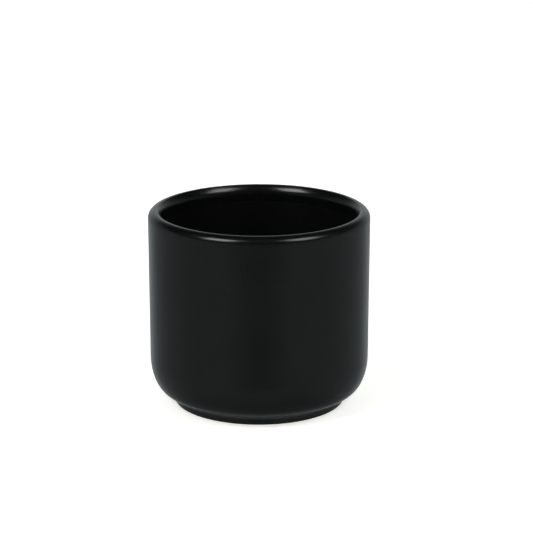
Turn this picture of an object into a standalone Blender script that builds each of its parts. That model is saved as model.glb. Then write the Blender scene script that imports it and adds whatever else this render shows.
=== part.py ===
"""An empty candle jar: a straight round stoneware cup on a small foot ring, with its glaze coats.

Run with: blender --background --python part.py

The jar stands on the plane z = 0, with its axis along Z through the origin. Every piece is turned
about that axis. The outlines over the glaze are drawn first, and each layer below them, the glaze
coat and then the clay, is set in from the same outline, so all the layers follow any change of size.
"""

import math

import bmesh
import bpy

# Driving dimensions, in metres except for the angle. Radii and heights are over the glaze.
HEIGHT = 0.0713
RIM_RADIUS = 0.0400
WALL_DRAFT = 0.0003
WALL_THICKNESS = 0.0051
RIM_BEVEL_DEGREES = 40
RIM_BEVEL_LENGTH = 0.0006
RIM_BEVEL_ROUND = 0.0045
RIM_FLAT = 0.0002
RIM_OUTER_DROP = 0.0027
UNDERSIDE_HEIGHT = 0.0041
LOWER_CURVE_HEIGHT = 0.0131
FOOT_SETBACK = 0.0088
FOOT_LEDGE = 0.0011
FOOT_FILLET = 0.0010
FOOT_RING_WIDTH = 0.0050
STANDING_EDGE_ROUND = 0.0005
RECESS_HEIGHT = 0.0030
RECESS_FILLET = 0.0012
FLOOR_THICKNESS = 0.0056
INNER_CORNER_ROUND = 0.0080
GLAZE_THICKNESS = 0.0004
GLAZE_CLEARANCE = 0.0003
CLAY_LIP_ROUND = 0.0001
LAP_BELOW_BEVEL = 0.0020
GLAZE_LINE_HEIGHT = 0.0004

# How finely the turned surfaces are drawn.
SEGMENTS = 48
CURVE_STEPS = 6
FILLET_STEPS = 3
WELD_DISTANCE = 1e-6
SMOOTH_ANGLE = math.radians(35)

# Sizes that follow from the ones above.
CLAY_DEPTH = GLAZE_THICKNESS + GLAZE_CLEARANCE
BORE_RADIUS = RIM_RADIUS - WALL_THICKNESS
BEVEL_COSINE = math.cos(math.radians(RIM_BEVEL_DEGREES))
BEVEL_SINE = math.sin(math.radians(RIM_BEVEL_DEGREES))
BEVEL_ROUND_WIDTH = RIM_BEVEL_ROUND * (1 - BEVEL_COSINE)
BEVEL_ROUND_HEIGHT = RIM_BEVEL_ROUND * BEVEL_SINE
RIM_LIP_ROUND = CLAY_DEPTH + CLAY_LIP_ROUND
RIM_LIP_RADIUS = (
    BORE_RADIUS + BEVEL_ROUND_WIDTH + RIM_BEVEL_LENGTH * BEVEL_SINE + RIM_LIP_ROUND * BEVEL_COSINE
)
RIM_OUTER_WIDTH = RIM_RADIUS - RIM_LIP_RADIUS - RIM_FLAT
BEVEL_FOOT_HEIGHT = (
    HEIGHT - RIM_LIP_ROUND * (1 - BEVEL_SINE) - RIM_BEVEL_LENGTH * BEVEL_COSINE - BEVEL_ROUND_HEIGHT
)
LAP_HEIGHT = BEVEL_FOOT_HEIGHT - LAP_BELOW_BEVEL
WALL_FOOT_RADIUS = RIM_RADIUS - WALL_DRAFT
FOOT_RADIUS = WALL_FOOT_RADIUS - FOOT_SETBACK
LOWER_CURVE_WIDTH = FOOT_SETBACK - FOOT_LEDGE - FOOT_FILLET
RECESS_RADIUS = FOOT_RADIUS - FOOT_RING_WIDTH
FLOOR_HEIGHT = RECESS_HEIGHT + FLOOR_THICKNESS


def clear_scene():
    """Removes whatever the file starts with."""
    for thing in list(bpy.data.objects):
        bpy.data.objects.remove(thing, do_unlink=True)


def arc(centre, width, height, start, end, steps):
    """Points on an elliptic arc about centre, from one angle to another, in degrees."""
    points = []
    for step in range(steps + 1):
        angle = math.radians(start + (end - start) * step / steps)
        points.append((centre[0] + width * math.cos(angle), centre[1] + height * math.sin(angle)))
    return points


def inset(outline, distance):
    """The outline moved into the clay, which is on its right-hand side, with its corners mitred."""
    normals = []
    for (r0, z0), (r1, z1) in zip(outline, outline[1:]):
        length = math.hypot(r1 - r0, z1 - z0)
        normals.append(((z1 - z0) / length, (r0 - r1) / length))
    moved = []
    for index, (r, z) in enumerate(outline):
        before = normals[max(index - 1, 0)]
        after = normals[min(index, len(normals) - 1)]
        share = distance / (1 + before[0] * after[0] + before[1] * after[1])
        moved.append((r + share * (before[0] + after[0]), z + share * (before[1] + after[1])))
    return moved


def outside_outline(bottom):
    """The glazed outline from the lap inside the rim, over the rim and down the outside to the foot."""
    bevel_round = (BORE_RADIUS + RIM_BEVEL_ROUND, BEVEL_FOOT_HEIGHT)
    bevel_end = 180 - RIM_BEVEL_DEGREES
    lip = (RIM_LIP_RADIUS, HEIGHT - RIM_LIP_ROUND)
    outer_round = (RIM_RADIUS - RIM_OUTER_WIDTH, HEIGHT - RIM_OUTER_DROP)
    lower_curve = (WALL_FOOT_RADIUS - LOWER_CURVE_WIDTH, UNDERSIDE_HEIGHT + LOWER_CURVE_HEIGHT)
    fillet = (FOOT_RADIUS + FOOT_FILLET, UNDERSIDE_HEIGHT - FOOT_FILLET)
    return (
        [(BORE_RADIUS, LAP_HEIGHT)]
        + arc(bevel_round, RIM_BEVEL_ROUND, RIM_BEVEL_ROUND, 180, bevel_end, FILLET_STEPS)
        + arc(lip, RIM_LIP_ROUND, RIM_LIP_ROUND, bevel_end, 90, FILLET_STEPS)
        + arc(outer_round, RIM_OUTER_WIDTH, RIM_OUTER_DROP, 90, 0, CURVE_STEPS)
        + arc(lower_curve, LOWER_CURVE_WIDTH, LOWER_CURVE_HEIGHT, 0, -90, CURVE_STEPS)
        + arc(fillet, FOOT_FILLET, FOOT_FILLET, 90, 180, FILLET_STEPS)
        + [(FOOT_RADIUS, bottom)]
    )


def inside_outline():
    """The glazed outline from the middle of the floor, round the inner corner and up to the rim's lap."""
    corner = (BORE_RADIUS - INNER_CORNER_ROUND, FLOOR_HEIGHT + INNER_CORNER_ROUND)
    return (
        [(0, FLOOR_HEIGHT)]
        + arc(corner, INNER_CORNER_ROUND, INNER_CORNER_ROUND, -90, 0, CURVE_STEPS)
        + [(BORE_RADIUS, LAP_HEIGHT - GLAZE_CLEARANCE)]
    )


def recess_outline(bottom):
    """The glazed outline up the foot ring's inner side and along the recess to the middle."""
    fillet = (RECESS_RADIUS - RECESS_FILLET, RECESS_HEIGHT - RECESS_FILLET)
    return (
        [(RECESS_RADIUS, bottom)]
        + arc(fillet, RECESS_FILLET, RECESS_FILLET, 0, 90, FILLET_STEPS)
        + [(0, RECESS_HEIGHT)]
    )


def body_outline():
    """The clay from the middle of the recess, round the foot, up the outside and down to the floor."""
    edge = STANDING_EDGE_ROUND
    recess = inset(recess_outline(edge), CLAY_DEPTH)
    outside = inset(outside_outline(edge), CLAY_DEPTH)
    inside = inset(inside_outline(), CLAY_DEPTH)
    inner_edge = (RECESS_RADIUS + CLAY_DEPTH + edge, edge)
    outer_edge = (FOOT_RADIUS - CLAY_DEPTH - edge, edge)
    standing_ring = arc(inner_edge, edge, edge, 180, 270, FILLET_STEPS)
    standing_ring += arc(outer_edge, edge, edge, 270, 360, FILLET_STEPS)
    return recess[:0:-1] + standing_ring + outside[-2::-1] + inside[::-1]


def coat_outline(surface):
    """A glaze coat: its surface, and back along the side that faces the clay."""
    return surface + inset(surface, GLAZE_THICKNESS)[::-1]


def ceramic(name, colour, roughness):
    """A Principled material of one colour and roughness."""
    material = bpy.data.materials.new(name)
    material.use_nodes = True
    shader = material.node_tree.nodes["Principled BSDF"]
    shader.inputs["Base Color"].default_value = (*colour, 1)
    shader.inputs["Roughness"].default_value = roughness
    shader.inputs["Metallic"].default_value = 0
    return material


def turned(name, outline, material, jar, closed=False):
    """One solid, its outline turned a full circle about Z; an outline that isn't closed ends on Z."""
    shape = bmesh.new()
    corners = [shape.verts.new((r, 0, z)) for r, z in outline]
    following = corners[1:] + corners[:1] if closed else corners[1:]
    edges = [shape.edges.new(pair) for pair in zip(corners, following)]
    bmesh.ops.spin(
        shape, geom=corners + edges, cent=(0, 0, 0), axis=(0, 0, 1), angle=math.tau, steps=SEGMENTS
    )
    bmesh.ops.remove_doubles(shape, verts=shape.verts, dist=WELD_DISTANCE)
    bmesh.ops.recalc_face_normals(shape, faces=shape.faces)
    mesh = bpy.data.meshes.new(name)
    shape.to_mesh(mesh)
    shape.free()
    mesh.shade_smooth()
    mesh.set_sharp_from_angle(angle=SMOOTH_ANGLE)
    mesh.materials.append(material)
    solid = bpy.data.objects.new(name, mesh)
    solid.parent = jar
    bpy.context.collection.objects.link(solid)


def build_jar():
    """The clay cup and its three glaze coats, under one empty."""
    jar = bpy.data.objects.new("candle_jar", None)
    bpy.context.collection.objects.link(jar)
    clay = ceramic("bare_stoneware", (0.52, 0.46, 0.39), 0.85)
    black_glaze = ceramic("satin_black_glaze", (0.012, 0.013, 0.013), 0.38)
    liner_glaze = ceramic("satin_black_liner_glaze", (0.010, 0.010, 0.011), 0.36)
    foot_glaze = ceramic("satin_black_foot_glaze", (0.013, 0.013, 0.013), 0.42)
    turned("stoneware_body", body_outline(), clay, jar)
    turned("outer_glaze", coat_outline(outside_outline(GLAZE_LINE_HEIGHT)), black_glaze, jar, closed=True)
    turned("inner_glaze", coat_outline(inside_outline()), liner_glaze, jar)
    recess_coat = recess_outline(GLAZE_LINE_HEIGHT)
    turned("base_glaze", recess_coat[::-1] + inset(recess_coat, GLAZE_THICKNESS), foot_glaze, jar)


clear_scene()
build_jar()
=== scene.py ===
"""The looks of an empty candle jar: a stoneware cup under a satin-matt black glaze, in a plain studio.

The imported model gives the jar's overall sizes. Each glaze coat, and the clay under it, is turned again
here as a fine mesh with the slight unevenness of a fired pot, and then gets its own finish.
"""

import logging
import math
from dataclasses import dataclass
from enum import Enum
from typing import Any

import bpy
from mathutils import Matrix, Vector, noise


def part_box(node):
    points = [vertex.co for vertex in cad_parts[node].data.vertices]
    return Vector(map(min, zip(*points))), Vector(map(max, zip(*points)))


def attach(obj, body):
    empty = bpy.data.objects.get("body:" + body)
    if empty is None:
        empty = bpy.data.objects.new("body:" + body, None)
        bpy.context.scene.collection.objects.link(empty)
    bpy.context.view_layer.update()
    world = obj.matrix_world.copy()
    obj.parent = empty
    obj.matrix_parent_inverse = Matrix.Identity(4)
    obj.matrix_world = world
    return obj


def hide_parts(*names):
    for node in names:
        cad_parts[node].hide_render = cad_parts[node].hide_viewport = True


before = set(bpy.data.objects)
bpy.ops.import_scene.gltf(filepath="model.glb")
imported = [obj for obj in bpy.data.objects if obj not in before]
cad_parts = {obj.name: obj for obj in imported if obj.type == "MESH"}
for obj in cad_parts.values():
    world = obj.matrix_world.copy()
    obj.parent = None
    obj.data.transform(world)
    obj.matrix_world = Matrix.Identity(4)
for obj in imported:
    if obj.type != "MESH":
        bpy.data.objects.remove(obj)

LOG = logging.getLogger("candle_jar")

Point = tuple[float, float]
Outline = list[Point]
Axis = tuple[float, float, float]

# Sockets of a Mix node that blends colours.
MIX_SHARE, MIX_A, MIX_B, MIX_COLOUR = 0, 6, 7, 2

# Noise seldom leaves this range, so it is stretched from here to run from 0 to 1.
CLOUD_LOW, CLOUD_HIGH = 0.3, 0.7

# The sRGB standard's curve from a stored value to light: a short straight part, then a power.
CHANNEL_MAX = 255
SRGB_KNEE, SRGB_SLOPE, SRGB_OFFSET, SRGB_POWER = 0.04045, 12.92, 0.055, 2.4

MM = 0.001

# How finely the turned surfaces are drawn, and the angle from which a corner stays crisp.
SEGMENTS = 192
ARC_STEPS_AT_LEAST = 6
CURVE_SPACING = 0.3 * MM
WALL_SPACING = 1.4 * MM
COVE_SPACING = 80 * MM
CRISP_ANGLE = math.radians(40)

# The hair's breadth left between two layers that touch, so that their faces never coincide.
SEAM = 0.01 * MM


class Ends(Enum):
    """How a turned outline ends."""

    JOINED = "the last point joins the first, so the body is a ring"
    APART = "each end lies on the axis or is a free edge"


class FootSide(Enum):
    """Which side of the foot ring a coat's lower edge is on.

    Each value is the sign that leads from the coat to the clay, then the first and last angle, in
    degrees, of the round under the edge.
    """

    OUTSIDE = (-1, 0, -180)
    INSIDE = (1, 180, 360)


class Layer(Enum):
    """The cup's layers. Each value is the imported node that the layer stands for."""

    CLAY = "stoneware_body"
    OUTSIDE = "outer_glaze"
    LINER = "inner_glaze"
    RECESS = "base_glaze"

    @property
    def slot(self) -> str:
        """The record's material slot for this layer."""
        return "bare_stoneware" if self is Layer.CLAY else self.value


def linear(hex_colour: str) -> tuple[float, float, float, float]:
    """Turns an sRGB hex colour into the linear values that a shader works in.

    Args:
        hex_colour: Six hex digits, with or without a leading #.

    Returns:
        Red, green, blue and an alpha of 1, all linear.
    """
    digits = hex_colour.lstrip("#")
    channels = [int(digits[start:start + 2], 16) / CHANNEL_MAX for start in (0, 2, 4)]
    curve = [
        c / SRGB_SLOPE if c <= SRGB_KNEE else ((c + SRGB_OFFSET) / (1 + SRGB_OFFSET)) ** SRGB_POWER
        for c in channels
    ]
    return (curve[0], curve[1], curve[2], 1.0)


def per_metre(millimetres: float) -> float:
    """Gives the texture scale that makes one feature this many millimetres wide."""
    return 1 / (millimetres * MM)


def add_node(
    tree: bpy.types.NodeTree,
    kind: str,
    values: dict[str | int, Any] | None = None,
    links: dict[str | int, bpy.types.NodeSocket] | None = None,
    **settings: Any,
) -> bpy.types.Node:
    """Adds one node, with its settings, its fixed socket values and the links into it.

    Args:
        tree: The node tree that takes the node.
        kind: Blender's name for the node's type.
        values: Fixed values by input socket.
        links: Source sockets by the input socket they feed.
        **settings: The node's own properties.

    Returns:
        The new node.
    """
    node = tree.nodes.new(kind)
    for name, value in settings.items():
        setattr(node, name, value)
    for socket, value in (values or {}).items():
        node.inputs[socket].default_value = value
    for socket, source in (links or {}).items():
        tree.links.new(source, node.inputs[socket])
    return node


def new_material(name: str) -> tuple[bpy.types.Material, bpy.types.NodeSocket]:
    """Makes an empty node material.

    Args:
        name: The material's name.

    Returns:
        The material, and the socket that gives each point's place on the object in metres.
    """
    material = bpy.data.materials.new(name)
    material.use_nodes = True
    material.node_tree.nodes.clear()
    return material, add_node(material.node_tree, "ShaderNodeTexCoord").outputs["Object"]


def arc(
    centre: Point, width: float, height: float, start: float, end: float, spacing: float = CURVE_SPACING
) -> Outline:
    """Draws an elliptic arc.

    Args:
        centre: Radius and height of the arc's centre.
        width: Half-axis along the radius.
        height: Half-axis along the height.
        start: First angle in degrees, from straight out.
        end: Last angle in degrees.
        spacing: About how far apart the points are.

    Returns:
        The arc's points, both ends included.
    """
    sweep = math.radians(end - start)
    steps = max(ARC_STEPS_AT_LEAST, round(abs(sweep) * (width + height) / 2 / spacing))
    angles = [math.radians(start) + sweep * step / steps for step in range(steps + 1)]
    return [(centre[0] + width * math.cos(a), centre[1] + height * math.sin(a)) for a in angles]


def walked(outline: Outline, spacing: float = WALL_SPACING) -> Outline:
    """Adds points along the straight runs, so that none is longer than the spacing.

    Args:
        outline: Corner points in order.
        spacing: The longest step that stays.

    Returns:
        The same outline with more points.
    """
    points = [outline[0]]
    for (r0, z0), (r1, z1) in zip(outline, outline[1:]):
        steps = max(1, math.ceil(math.hypot(r1 - r0, z1 - z0) / spacing))
        points += [(r0 + (r1 - r0) * s / steps, z0 + (z1 - z0) * s / steps) for s in range(1, steps + 1)]
    return points


def inset(outline: Outline, distance: float) -> Outline:
    """Moves an outline into the clay, which lies on its right-hand side.

    Args:
        outline: Points along the glazed surface.
        distance: How far to move them.

    Returns:
        The moved points, one for each point given, with mitred corners.
    """
    normals = []
    for (r0, z0), (r1, z1) in zip(outline, outline[1:]):
        length = math.hypot(r1 - r0, z1 - z0)
        normals.append(((z1 - z0) / length, (r0 - r1) / length))
    moved = []
    for index, (r, z) in enumerate(outline):
        before, after = normals[max(index - 1, 0)], normals[min(index, len(normals) - 1)]
        share = distance / (1 + before[0] * after[0] + before[1] * after[1])
        moved.append((r + share * (before[0] + after[0]), z + share * (before[1] + after[1])))
    return moved


def from_zero(swing: float) -> float:
    """Brings a value that swings between -1 and 1 to between 0 and 1."""
    return 0.5 + 0.5 * swing


@dataclass(frozen=True)
class Unevenness:
    """How far the fired cup strays from a true turned form, always inwards and by less than 0.1 mm.

    All the layers of the wall move together, so the glaze keeps its thickness.
    """

    reach: float
    height: float
    oval: float = 0.02 * MM
    oval_lobes: int = 2
    oval_phase: float = 0.8
    slow_depth: float = 0.04 * MM
    slow_length: float = 26 * MM
    fine_depth: float = 0.008 * MM
    fine_length: float = 7 * MM
    rim_dip: float = 0.05 * MM
    dip_length: float = 52 * MM

    def moved(self, point: Vector) -> Vector:
        """Moves one point of the true form to its place on the fired cup.

        Args:
            point: A point on the true form.

        Returns:
            The point with the wall's waviness and the rim's slight dips.
        """
        radius = math.hypot(point.x, point.y)
        if radius == 0:
            return point
        round_about = Vector((point.x / radius * self.reach, point.y / radius * self.reach, point.z))
        angle = math.atan2(point.y, point.x)
        depth = self.oval * from_zero(math.cos(self.oval_lobes * angle + self.oval_phase))
        depth += self.slow_depth * from_zero(noise.noise(round_about / self.slow_length))
        depth += self.fine_depth * from_zero(noise.noise(round_about / self.fine_length))
        share = min(1, radius / self.reach)
        dip = self.rim_dip * from_zero(noise.noise(round_about / self.dip_length))
        scale = 1 - depth * share / radius
        return Vector((point.x * scale, point.y * scale, point.z - dip * (point.z / self.height) ** 2))


def turned(name: str, outline: Outline, ends: Ends, uneven: Unevenness) -> bpy.types.Object:
    """Turns an outline about Z into one body, with the fired cup's unevenness.

    Args:
        name: The new object's name.
        outline: Radius and height of each point, with the body on its right-hand side going round.
        ends: How the outline ends.
        uneven: How the true form is moved.

    Returns:
        The new object, linked to the scene and shaded smooth.
    """
    points: list[Vector] = []
    rows: list[list[int]] = []
    for r, z in outline:
        around = 1 if r == 0 else SEGMENTS
        rows.append(list(range(len(points), len(points) + around)))
        for step in range(around):
            angle = math.tau * step / SEGMENTS
            points.append(uneven.moved(Vector((r * math.cos(angle), r * math.sin(angle), z))))
    faces: list[list[int]] = []
    following = rows[1:] + rows[:1] if ends is Ends.JOINED else rows[1:]
    for row, other in zip(rows, following):
        for step in range(SEGMENTS):
            after = (step + 1) % SEGMENTS
            corners = [row[step % len(row)], row[after % len(row)]]
            corners += [other[after % len(other)], other[step % len(other)]]
            faces.append(list(dict.fromkeys(corners)))
    mesh = bpy.data.meshes.new(name)
    mesh.from_pydata(points, [], faces)
    mesh.validate()
    mesh.shade_smooth()
    mesh.set_sharp_from_angle(angle=CRISP_ANGLE)
    solid = bpy.data.objects.new(name, mesh)
    bpy.context.collection.objects.link(solid)
    return solid


@dataclass(frozen=True)
class SatinMattGlaze:
    """Black iron and manganese glaze, dipped and fired to a satin-matt skin.

    The skin is a glass full of very fine crystals, so it gives a soft, wide highlight and turns
    bright only at a grazing angle. Its sheen changes slowly over the surface, and it has a few pinholes.
    Near the foot its colour turns a greyer black. This is partly glaze pooled there and partly a painted
    reflection of the bright floor.
    """

    name: str
    thin_colour: str = "#080909"
    thick_colour: str = "#050606"
    pool_and_floor_reflection_colour: str = "#070808"
    smooth: float = 0.20
    rough: float = 0.25
    ior: float = 1.50
    cloud_mm: float = 19.0
    cloud_detail: float = 3.0
    ripple_mm: float = 3.2
    ripple_detail: float = 1.0
    ripple_depth: float = 0.006 * MM
    crystal_mm: float = 0.45
    crystal_detail: float = 2.0
    crystal_depth: float = 0.0012 * MM
    pinhole_spacing_mm: float = 6.5
    pinhole_mm: float = 0.34
    pinhole_depth: float = 0.06 * MM
    # Heights of the greyer band above the foot, which is partly pooled glaze and partly a painted reflection
    # of the bright floor.
    pool_and_reflection_bottom: float = 1.7 * MM
    pool_and_reflection_start: float = 3.0 * MM
    pool_and_reflection_end: float = 3.8 * MM
    pool_and_reflection_top: float = 7.0 * MM

    def build(self) -> bpy.types.Material:
        """Makes the glaze's material.

        Returns:
            A material whose colour, sheen and relief all come from nodes.
        """
        material, place = new_material(self.name)
        tree = material.node_tree
        # Cloudy thickness: where the coat lies thicker it is blacker and a little glossier.
        cloud = add_node(
            tree, "ShaderNodeTexNoise", {"Scale": per_metre(self.cloud_mm), "Detail": self.cloud_detail},
            {"Vector": place},
        ).outputs["Fac"]
        thickness = add_node(
            tree, "ShaderNodeMapRange", {"From Min": CLOUD_LOW, "From Max": CLOUD_HIGH}, {"Value": cloud}
        ).outputs["Result"]
        colour = add_node(
            tree, "ShaderNodeMix", {MIX_A: linear(self.thin_colour), MIX_B: linear(self.thick_colour)},
            {MIX_SHARE: thickness}, data_type="RGBA",
        )
        # Painted reflection: a greyer band above the foot. It is partly pooled glaze and partly stands in
        # for the bright floor mirrored there.
        pool_and_floor_reflection = add_node(
            tree, "ShaderNodeMix", {MIX_B: linear(self.pool_and_floor_reflection_colour)},
            {MIX_SHARE: self._pool_and_floor_reflection_band(tree, place), MIX_A: colour.outputs[MIX_COLOUR]}, data_type="RGBA",
        )
        sheen = add_node(
            tree, "ShaderNodeMapRange", {"To Min": self.rough, "To Max": self.smooth}, {"Value": thickness}
        )
        shader = add_node(
            tree, "ShaderNodeBsdfPrincipled", {"IOR": self.ior},
            {
                "Base Color": pool_and_floor_reflection.outputs[MIX_COLOUR],
                "Roughness": sheen.outputs["Result"],
                "Normal": self._relief(tree, place),
            },
        )
        add_node(tree, "ShaderNodeOutputMaterial", links={"Surface": shader.outputs["BSDF"]})
        return material

    def _pool_and_floor_reflection_band(self, tree: bpy.types.NodeTree, place: bpy.types.NodeSocket) -> bpy.types.NodeSocket:
        """Finds the greyer band near the foot by its height over the standing face. The band is partly
        pooled glaze and partly a painted reflection of the bright floor.

        Args:
            tree: The glaze's node tree.
            place: The socket that gives each point's place.

        Returns:
            The socket that runs from 0 to 1 where the band is strongest, and back to 0 above it.
        """
        height = add_node(tree, "ShaderNodeSeparateXYZ", links={"Vector": place}).outputs["Z"]
        below = add_node(
            tree, "ShaderNodeMapRange", {"From Min": self.pool_and_reflection_bottom, "From Max": self.pool_and_reflection_start},
            {"Value": height}, interpolation_type="SMOOTHSTEP",
        )
        above = add_node(
            tree, "ShaderNodeMapRange",
            {"From Min": self.pool_and_reflection_end, "From Max": self.pool_and_reflection_top, "To Max": 0.0},
            {"Value": height, "To Min": below.outputs["Result"]}, interpolation_type="SMOOTHSTEP",
        )
        return above.outputs["Result"]

    def _relief(self, tree: bpy.types.NodeTree, place: bpy.types.NodeSocket) -> bpy.types.NodeSocket:
        """Adds the skin's ripples, crystals and pinholes.

        Args:
            tree: The glaze's node tree.
            place: The socket that gives each point's place.

        Returns:
            The bumped normal's socket.
        """
        ripple = add_node(
            tree, "ShaderNodeTexNoise", {"Scale": per_metre(self.ripple_mm), "Detail": self.ripple_detail},
            {"Vector": place},
        )
        # Real crystals are under 0.1 mm, so these are drawn coarser, as fine as the render can show.
        crystal = add_node(
            tree, "ShaderNodeTexNoise",
            {"Scale": per_metre(self.crystal_mm), "Detail": self.crystal_detail},
            {"Vector": place},
        )
        # A pinhole is where a cell's centre happens to lie on the surface, so there are only a few.
        cell = add_node(
            tree, "ShaderNodeTexVoronoi", {"Scale": per_metre(self.pinhole_spacing_mm)}, {"Vector": place}
        )
        edge = self.pinhole_mm / self.pinhole_spacing_mm / 2
        pinhole = add_node(
            tree, "ShaderNodeMapRange", {"From Min": edge / 2, "From Max": edge},
            {"Value": cell.outputs["Distance"]}, interpolation_type="SMOOTHSTEP",
        )
        layers = (
            (ripple.outputs["Fac"], self.ripple_depth),
            (crystal.outputs["Fac"], self.crystal_depth),
            (pinhole.outputs["Result"], self.pinhole_depth),
        )
        normal = None
        for height, depth in layers:
            links = {"Height": height} if normal is None else {"Height": height, "Normal": normal}
            normal = add_node(tree, "ShaderNodeBump", {"Distance": depth}, links).outputs["Normal"]
        return normal


@dataclass(frozen=True)
class BareStoneware:
    """Fired stoneware clay, left unglazed and rubbed flat on the foot ring.

    It is dry and quite matt, with fine sand grains and darker iron specks in a warm grey buff.
    """

    name: str = "bare_stoneware"
    clay_colour: str = "#b5a68f"
    grain_colour: str = "#97866f"
    speck_colour: str = "#4a3a2c"
    roughness: float = 0.88
    grain_mm: float = 0.5
    grain_detail: float = 3.0
    grain_depth: float = 0.03 * MM
    speck_spacing_mm: float = 1.3
    speck_mm: float = 0.35
    speck_share: float = 0.85

    def build(self) -> bpy.types.Material:
        """Makes the bare clay's material.

        Returns:
            A material with grain and specks from nodes.
        """
        material, place = new_material(self.name)
        tree = material.node_tree
        grain = add_node(
            tree, "ShaderNodeTexNoise", {"Scale": per_metre(self.grain_mm), "Detail": self.grain_detail},
            {"Vector": place},
        ).outputs["Fac"]
        cell = add_node(
            tree, "ShaderNodeTexVoronoi", {"Scale": per_metre(self.speck_spacing_mm)}, {"Vector": place}
        )
        edge = self.speck_mm / self.speck_spacing_mm / 2
        speck = add_node(
            tree, "ShaderNodeMapRange",
            {"From Min": edge / 2, "From Max": edge, "To Min": self.speck_share, "To Max": 0.0},
            {"Value": cell.outputs["Distance"]},
        )
        paleness = add_node(
            tree, "ShaderNodeMapRange", {"From Min": CLOUD_LOW, "From Max": CLOUD_HIGH}, {"Value": grain}
        )
        body = add_node(
            tree, "ShaderNodeMix", {MIX_A: linear(self.grain_colour), MIX_B: linear(self.clay_colour)},
            {MIX_SHARE: paleness.outputs["Result"]}, data_type="RGBA",
        )
        mixed = add_node(
            tree, "ShaderNodeMix", {MIX_B: linear(self.speck_colour)},
            {MIX_SHARE: speck.outputs["Result"], MIX_A: body.outputs[MIX_COLOUR]}, data_type="RGBA",
        )
        relief = add_node(tree, "ShaderNodeBump", {"Distance": self.grain_depth}, {"Height": grain})
        shader = add_node(
            tree, "ShaderNodeBsdfPrincipled", {"Roughness": self.roughness},
            {"Base Color": mixed.outputs[MIX_COLOUR], "Normal": relief.outputs["Normal"]},
        )
        add_node(tree, "ShaderNodeOutputMaterial", links={"Surface": shader.outputs["BSDF"]})
        return material


@dataclass(frozen=True)
class FrostedAcrylic:
    """Opal white acrylic sheet, cast, with a frosted face and lit from below.

    It is matt, even and pale, and its own glow keeps the jar's shadow faint.
    """

    name: str = "frosted_white_acrylic"
    colour: str = "#f4f4f2"
    glow: float = 0.60
    roughness: float = 0.8
    frost_mm: float = 1.5
    frost_depth: float = 0.02 * MM

    def build(self) -> bpy.types.Material:
        """Makes the sheet's material.

        Returns:
            A pale glowing material with a frosted relief.
        """
        material, place = new_material(self.name)
        tree = material.node_tree
        # Real frosting is finer than 0.1 mm, so it is drawn coarser.
        frost = add_node(tree, "ShaderNodeTexNoise", {"Scale": per_metre(self.frost_mm)}, {"Vector": place})
        relief = add_node(
            tree, "ShaderNodeBump", {"Distance": self.frost_depth}, {"Height": frost.outputs["Fac"]}
        )
        shader = add_node(
            tree, "ShaderNodeBsdfPrincipled",
            {
                "Base Color": linear(self.colour),
                "Roughness": self.roughness,
                "Emission Color": linear(self.colour),
                "Emission Strength": self.glow,
            },
            {"Normal": relief.outputs["Normal"]},
        )
        add_node(tree, "ShaderNodeOutputMaterial", links={"Surface": shader.outputs["BSDF"]})
        return material


@dataclass(frozen=True)
class PackedSizes:
    """The jar's overall sizes in metres, over the glaze, and the thickness of a coat of glaze."""

    height: float
    rim_radius: float
    bore_radius: float
    floor_height: float
    recess_radius: float
    recess_height: float
    lap_height: float
    coat: float

    @classmethod
    def from_frame(cls, coat: float = 0.4 * MM) -> "PackedSizes":
        """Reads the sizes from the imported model's nodes.

        Args:
            coat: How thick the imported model's coats are.

        Returns:
            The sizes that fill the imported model's box.
        """
        _, outer_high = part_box(Layer.OUTSIDE.value)
        inner_low, inner_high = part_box(Layer.LINER.value)
        _, base_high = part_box(Layer.RECESS.value)
        return cls(
            height=outer_high[2],
            rim_radius=outer_high[0],
            bore_radius=inner_high[0] - coat,
            floor_height=inner_low[2] + coat,
            recess_radius=base_high[0] - coat,
            recess_height=base_high[2] - coat,
            lap_height=inner_high[2],
            coat=coat,
        )


@dataclass(frozen=True)
class TurnedLayer:
    """What every layer of the cup shares: the sizes, and how its turned piece takes its node's place."""

    sizes: PackedSizes

    def place(
        self, name: str, layer: Layer, outline: Outline, ends: Ends, uneven: Unevenness,
        material: bpy.types.Material,
    ) -> None:
        """Turns the layer, dresses it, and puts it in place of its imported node.

        Args:
            name: The new piece's name.
            layer: Which layer it is.
            outline: The layer's closed outline.
            ends: How the outline ends.
            uneven: How the true form is moved.
            material: The layer's finish.
        """
        piece = turned(name, outline, ends, uneven)
        piece.data.materials.append(material)
        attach(piece, "root")
        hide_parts(layer.value)
        LOG.info("%s: %d faces, for %s", name, len(piece.data.polygons), layer.value)


@dataclass(frozen=True)
class GlazeCoat(TurnedLayer):
    """What the coats share: each ends in a round edge a little above the standing face."""

    glaze_line: float = 0.2 * MM

    @property
    def edge_height(self) -> float:
        """Height of the middle of the coat's round lower edge."""
        return self.glaze_line + self.sizes.coat / 2

    def rolled_edge(self, radius: float, side: FootSide) -> Outline:
        """Draws the round lower edge of a coat that stops just above the standing face.

        Args:
            radius: The glazed surface's radius there.
            side: The side of the foot ring that the coat is on.

        Returns:
            Points from the surface, under the edge, to the clay side, both ends left out.
        """
        half = self.sizes.coat / 2
        sign, start, end = side.value
        return arc((radius + sign * half, self.edge_height), half, half, start, end)[1:-1]


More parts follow.
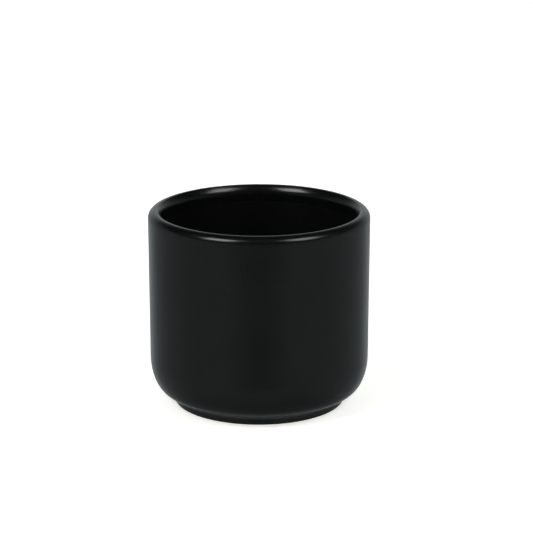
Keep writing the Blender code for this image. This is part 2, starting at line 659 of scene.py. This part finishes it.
@dataclass(frozen=True)
class OutsideCoat(GlazeCoat):
    """The outside coat: from its lap inside the rim, over the rim and down to the foot."""

    wall_draft: float = 0.3 * MM
    rim_lip_round: float = 0.8 * MM
    rim_bevel_degrees: float = 40.0
    rim_bevel_length: float = 0.6 * MM
    rim_bevel_round: float = 4.5 * MM
    rim_flat: float = 0.2 * MM
    rim_outer_drop: float = 2.7 * MM
    underside_height: float = 4.1 * MM
    lower_curve_height: float = 13.1 * MM
    foot_setback: float = 8.8 * MM
    foot_ledge: float = 1.1 * MM
    foot_fillet: float = 1.0 * MM
    # Painted reflection: the grey of the band above the foot. It is partly pooled glaze and partly the
    # bright floor's reflection painted into the colour.
    pool_and_floor_reflection_colour: str = "#2b2d2e"

    @property
    def wall_foot_radius(self) -> float:
        """Radius of the wall's outside where the lower curve starts."""
        return self.sizes.rim_radius - self.wall_draft

    @property
    def foot_radius(self) -> float:
        """Radius of the foot ring's outside."""
        return self.wall_foot_radius - self.foot_setback

    def rim(self) -> Outline:
        """Draws the rim from the large round in the bore, up the bevel and over the lip to the wall.

        Returns:
            The rim's points.
        """
        sizes, lip, bend = self.sizes, self.rim_lip_round, self.rim_bevel_round
        turn = math.radians(self.rim_bevel_degrees)
        bevel_end = 180 - self.rim_bevel_degrees
        lip_radius = sizes.bore_radius + bend * (1 - math.cos(turn))
        lip_radius += self.rim_bevel_length * math.sin(turn) + lip * math.cos(turn)
        bevel_foot = sizes.height - lip * (1 - math.sin(turn))
        bevel_foot -= self.rim_bevel_length * math.cos(turn) + bend * math.sin(turn)
        outer_width = sizes.rim_radius - lip_radius - self.rim_flat
        outer_round = (sizes.rim_radius - outer_width, sizes.height - self.rim_outer_drop)
        return (
            arc((sizes.bore_radius + bend, bevel_foot), bend, bend, 180, bevel_end)
            + arc((lip_radius, sizes.height - lip), lip, lip, bevel_end, 90)
            + arc(outer_round, outer_width, self.rim_outer_drop, 90, 0)
        )

    def foot(self) -> Outline:
        """Draws the lower curve, the underside and the outside of the foot ring.

        Returns:
            The points from the wall down to the coat's lower edge.
        """
        fillet = self.foot_fillet
        curve_width = self.foot_setback - self.foot_ledge - fillet
        curve = (self.wall_foot_radius - curve_width, self.underside_height + self.lower_curve_height)
        corner = (self.foot_radius + fillet, self.underside_height - fillet)
        return (
            arc(curve, curve_width, self.lower_curve_height, 0, -90)
            + arc(corner, fillet, fillet, 90, 180)
            + [(self.foot_radius, self.edge_height)]
        )

    def surface(self) -> Outline:
        """Joins the lap, the rim, the wall and the foot.

        Returns:
            The glazed surface's points, from the lap down to the coat's lower edge.
        """
        return walked([(self.sizes.bore_radius, self.sizes.lap_height)] + self.rim() + self.foot())

    def build(self, uneven: Unevenness) -> None:
        """Builds and dresses the coat.

        Args:
            uneven: How the true form is moved.
        """
        surface = self.surface()
        edge = self.rolled_edge(self.foot_radius, FootSide.OUTSIDE)
        outline = surface + edge + inset(surface, self.sizes.coat)[::-1]
        finish = SatinMattGlaze("satin_matt_black_glaze", pool_and_floor_reflection_colour=self.pool_and_floor_reflection_colour)
        self.place("outside_glaze_coat", Layer.OUTSIDE, outline, Ends.JOINED, uneven, finish.build())


@dataclass(frozen=True)
class LinerCoat(TurnedLayer):
    """The liner coat, which makes the cup tight for wax: the floor and the inside of the wall."""

    corner_round: float = 8.0 * MM
    smooth: float = 0.31
    rough: float = 0.36

    def surface(self) -> Outline:
        """Draws the glazed surface.

        Returns:
            The points from the middle of the floor up to the outside coat's lap.
        """
        sizes, bend = self.sizes, self.corner_round
        corner = (sizes.bore_radius - bend, sizes.floor_height + bend)
        top = (sizes.bore_radius, sizes.lap_height - SEAM)
        return walked([(0.0, sizes.floor_height)] + arc(corner, bend, bend, -90, 0) + [top])

    def build(self, uneven: Unevenness) -> None:
        """Builds and dresses the coat, whose outline's two ends lie on the axis.

        Args:
            uneven: How the true form is moved.
        """
        surface = self.surface()
        outline = surface + inset(surface, self.sizes.coat)[::-1]
        finish = SatinMattGlaze("satin_matt_black_liner", smooth=self.smooth, rough=self.rough)
        self.place("liner_glaze_coat", Layer.LINER, outline, Ends.APART, uneven, finish.build())


@dataclass(frozen=True)
class RecessCoat(GlazeCoat):
    """The coat under the floor: up the foot ring's inner side and across the recess."""

    fillet: float = 1.2 * MM
    smooth: float = 0.25
    rough: float = 0.31

    def surface(self) -> Outline:
        """Draws the glazed surface.

        Returns:
            The points from the coat's lower edge to the middle of the recess.
        """
        sizes, fillet = self.sizes, self.fillet
        corner = (sizes.recess_radius - fillet, sizes.recess_height - fillet)
        start = (sizes.recess_radius, self.edge_height)
        return walked([start] + arc(corner, fillet, fillet, 0, 90) + [(0.0, sizes.recess_height)])

    def build(self, uneven: Unevenness) -> None:
        """Builds and dresses the coat, whose outline's two ends lie on the axis.

        Args:
            uneven: How the true form is moved.
        """
        surface = self.surface()
        edge = self.rolled_edge(self.sizes.recess_radius, FootSide.INSIDE)
        outline = surface[::-1] + edge + inset(surface, self.sizes.coat)
        finish = SatinMattGlaze("satin_matt_black_foot_glaze", smooth=self.smooth, rough=self.rough)
        self.place("recess_glaze_coat", Layer.RECESS, outline, Ends.APART, uneven, finish.build())


@dataclass(frozen=True)
class ClayCup(TurnedLayer):
    """The fired clay under the coats, which shows only on the foot ring's standing face."""

    outside: OutsideCoat
    liner: LinerCoat
    recess: RecessCoat
    standing_edge_round: float = 0.5 * MM

    def standing_face(self, depth: float) -> Outline:
        """Draws the foot ring's flat face and its two round edges.

        Args:
            depth: How far the clay lies under the glazed surface.

        Returns:
            The points from the inner side to the outer side.
        """
        edge = self.standing_edge_round
        inner = (self.sizes.recess_radius + depth + edge, edge)
        outer = (self.outside.foot_radius - depth - edge, edge)
        return walked(arc(inner, edge, edge, 180, 270) + arc(outer, edge, edge, 270, 360))

    def build(self, uneven: Unevenness) -> None:
        """Builds and dresses the clay, from the recess round the foot and the rim to the floor.

        Args:
            uneven: How the true form is moved.
        """
        depth = self.sizes.coat + SEAM
        recess, outside, inside = (
            inset(coat.surface(), depth)[::-1] for coat in (self.recess, self.outside, self.liner)
        )
        outline = recess + self.standing_face(depth) + outside + inside
        self.place("clay_cup", Layer.CLAY, outline, Ends.APART, uneven, BareStoneware().build())


@dataclass(frozen=True)
class CandleJar:
    """The glazed cup: the clay and its three glaze coats, one fine turned body each."""

    sizes: PackedSizes

    def build(self) -> None:
        """Builds the clay and then each coat."""
        uneven = Unevenness(self.sizes.rim_radius, self.sizes.height)
        outside, liner, recess = OutsideCoat(self.sizes), LinerCoat(self.sizes), RecessCoat(self.sizes)
        for layer in (ClayCup(self.sizes, outside, liner, recess), outside, liner, recess):
            layer.build(uneven)


@dataclass(frozen=True)
class SoftBox:
    """One square studio light with a diffusing front, aimed at the jar."""

    name: str
    turn_degrees: float
    rise_degrees: float
    side: float
    watts: float
    distance: float = 1.0

    def build(self, aim: Vector) -> None:
        """Hangs the light and turns it to the point it is aimed at.

        Args:
            aim: The point that the light faces.
        """
        turn, rise = math.radians(self.turn_degrees), math.radians(self.rise_degrees)
        away = Vector((math.sin(turn) * math.cos(rise), -math.cos(turn) * math.cos(rise), math.sin(rise)))
        lamp = bpy.data.lights.new(self.name, "AREA")
        lamp.shape = "SQUARE"
        lamp.size = self.side
        lamp.energy = self.watts
        light = bpy.data.objects.new(self.name, lamp)
        light.location = aim + self.distance * away
        light.rotation_euler = (-away).to_track_quat("-Z", "Y").to_euler()
        bpy.context.collection.objects.link(light)
        LOG.info("%s: %.1f W", self.name, self.watts)


@dataclass(frozen=True)
class Cove:
    """A plain pale floor that curves up into a wall all the way round, with its sizes in metres.

    The glaze doesn't mirror it. What the glaze mirrors is the room.
    """

    flat_radius: float = 2.2
    curve_radius: float = 0.9
    wall_height: float = 2.4

    def build(self) -> None:
        """Turns the sheet, without any unevenness, and stages it."""
        centre = (self.flat_radius, self.curve_radius)
        bend = arc(centre, self.curve_radius, self.curve_radius, -90, 0, COVE_SPACING)
        outline = [(0.0, 0.0)] + bend + [(self.flat_radius + self.curve_radius, self.wall_height)]
        still = Unevenness(self.flat_radius, self.wall_height, oval=0, slow_depth=0, fine_depth=0, rim_dip=0)
        cove = turned("pale_cove", outline, Ends.APART, still)
        cove.visible_glossy = False
        cove.data.materials.append(FrostedAcrylic().build())
        LOG.info("pale_cove: %d faces", len(cove.data.polygons))


@dataclass(frozen=True)
class RoomLevel:
    """How bright one part of the room is: from low to high as directions turn along an axis."""

    axis: Axis
    start: float
    end: float
    low: float
    high: float

    def build(self, tree: bpy.types.NodeTree, direction: bpy.types.NodeSocket) -> bpy.types.NodeSocket:
        """Adds the level to the room.

        Args:
            tree: The world's node tree.
            direction: The socket that gives the direction looked at.

        Returns:
            The level's socket.
        """
        turned_to = add_node(
            tree, "ShaderNodeVectorMath", {1: self.axis}, {0: direction}, operation="DOT_PRODUCT"
        )
        level = add_node(
            tree, "ShaderNodeMapRange",
            {"From Min": self.start, "From Max": self.end, "To Min": self.low, "To Max": self.high},
            {"Value": turned_to.outputs["Value"]}, interpolation_type="SMOOTHSTEP",
        )
        return level.outputs["Result"]


@dataclass(frozen=True)
class Room:
    """What the glaze mirrors: a bright table and backdrop under a dark ceiling.

    The table is darker on the camera's side, the backdrop is brighter higher up, and the floor right
    under the jar is in its shade.
    """

    colour: str = "#f3fdff"
    table: RoomLevel = RoomLevel((0, -1, 0), start=0.80, end=0.97, low=0.265, high=0.145)
    backdrop: RoomLevel = RoomLevel((0, 1, 0), start=0.60, end=0.97, low=0.0, high=0.22)
    upper_backdrop: RoomLevel = RoomLevel((0, 1, 0.3), start=0.94, end=1.04, low=0.0, high=0.16)
    ceiling: RoomLevel = RoomLevel((0, -0.2, 1), start=0.0, end=0.45, low=1.0, high=0.10)
    shade: RoomLevel = RoomLevel((0, 0, -1), start=0.45, end=0.80, low=1.0, high=0.65)

    def build(self) -> None:
        """Makes the world: the lit parts are added up, then the ceiling and the shade dim the sum."""
        world = bpy.data.worlds.new("studio_room")
        bpy.context.scene.world = world
        world.use_nodes = True
        tree = world.node_tree
        tree.nodes.clear()
        direction = add_node(tree, "ShaderNodeTexCoord").outputs["Generated"]
        total = self.table.build(tree, direction)
        steps = (
            ("ADD", self.backdrop), ("ADD", self.upper_backdrop),
            ("MULTIPLY", self.ceiling), ("MULTIPLY", self.shade),
        )
        for operation, part in steps:
            links = {0: total, 1: part.build(tree, direction)}
            total = add_node(tree, "ShaderNodeMath", links=links, operation=operation).outputs["Value"]
        glow = add_node(tree, "ShaderNodeBackground", {"Color": linear(self.colour)}, {"Strength": total})
        add_node(tree, "ShaderNodeOutputWorld", links={"Surface": glow.outputs["Background"]})
        LOG.info("studio_room: %d nodes", len(tree.nodes))


@dataclass(frozen=True)
class Studio:
    """A plain pale cove, the room round it, and two soft boxes that give the rim its highlights."""

    aim: Vector
    left_box: SoftBox = SoftBox("soft_box_left", turn_degrees=-48, rise_degrees=45, side=0.42, watts=3.6)
    right_box: SoftBox = SoftBox("soft_box_right", turn_degrees=55, rise_degrees=47, side=0.42, watts=2.8)

    def build(self) -> None:
        """Builds the cove, the lights and the room."""
        Cove().build()
        self.left_box.build(self.aim)
        self.right_box.build(self.aim)
        Room().build()


@dataclass(frozen=True)
class ProductCamera:
    """A long lens that looks down on the jar from the front. Its distances are in metres."""

    elevation_degrees: float = 16.88
    distance: float = 0.850
    lens: float = 158.0
    target_height: float = 0.035
    aim_right: float = 0.00267
    aim_up: float = 0.01428

    def build(self) -> None:
        """Places the camera and makes it the scene's own."""
        rise = math.radians(self.elevation_degrees)
        forward = Vector((0, math.cos(rise), -math.sin(rise)))
        up = Vector((0, math.sin(rise), math.cos(rise)))
        target = Vector((0, 0, self.target_height))
        data = bpy.data.cameras.new("product_camera")
        data.lens = self.lens
        camera = bpy.data.objects.new("product_camera", data)
        camera.location = target - forward * self.distance
        aim = target + Vector((self.aim_right, 0, 0)) + up * self.aim_up
        camera.rotation_euler = (aim - camera.location).to_track_quat("-Z", "Y").to_euler()
        bpy.context.collection.objects.link(camera)
        bpy.context.scene.camera = camera
        LOG.info("product_camera: %.1f mm lens", data.lens)


def main() -> None:
    """Builds the camera, the studio and the jar, in that order."""
    logging.basicConfig(level=logging.INFO, format="%(name)s: %(message)s")
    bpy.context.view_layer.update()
    ProductCamera().build()
    sizes = PackedSizes.from_frame()
    Studio(aim=Vector((0, 0, sizes.height / 2))).build()
    CandleJar(sizes).build()
    bpy.context.scene.view_settings.view_transform = "Standard"


if __name__ == "__main__":
    main()
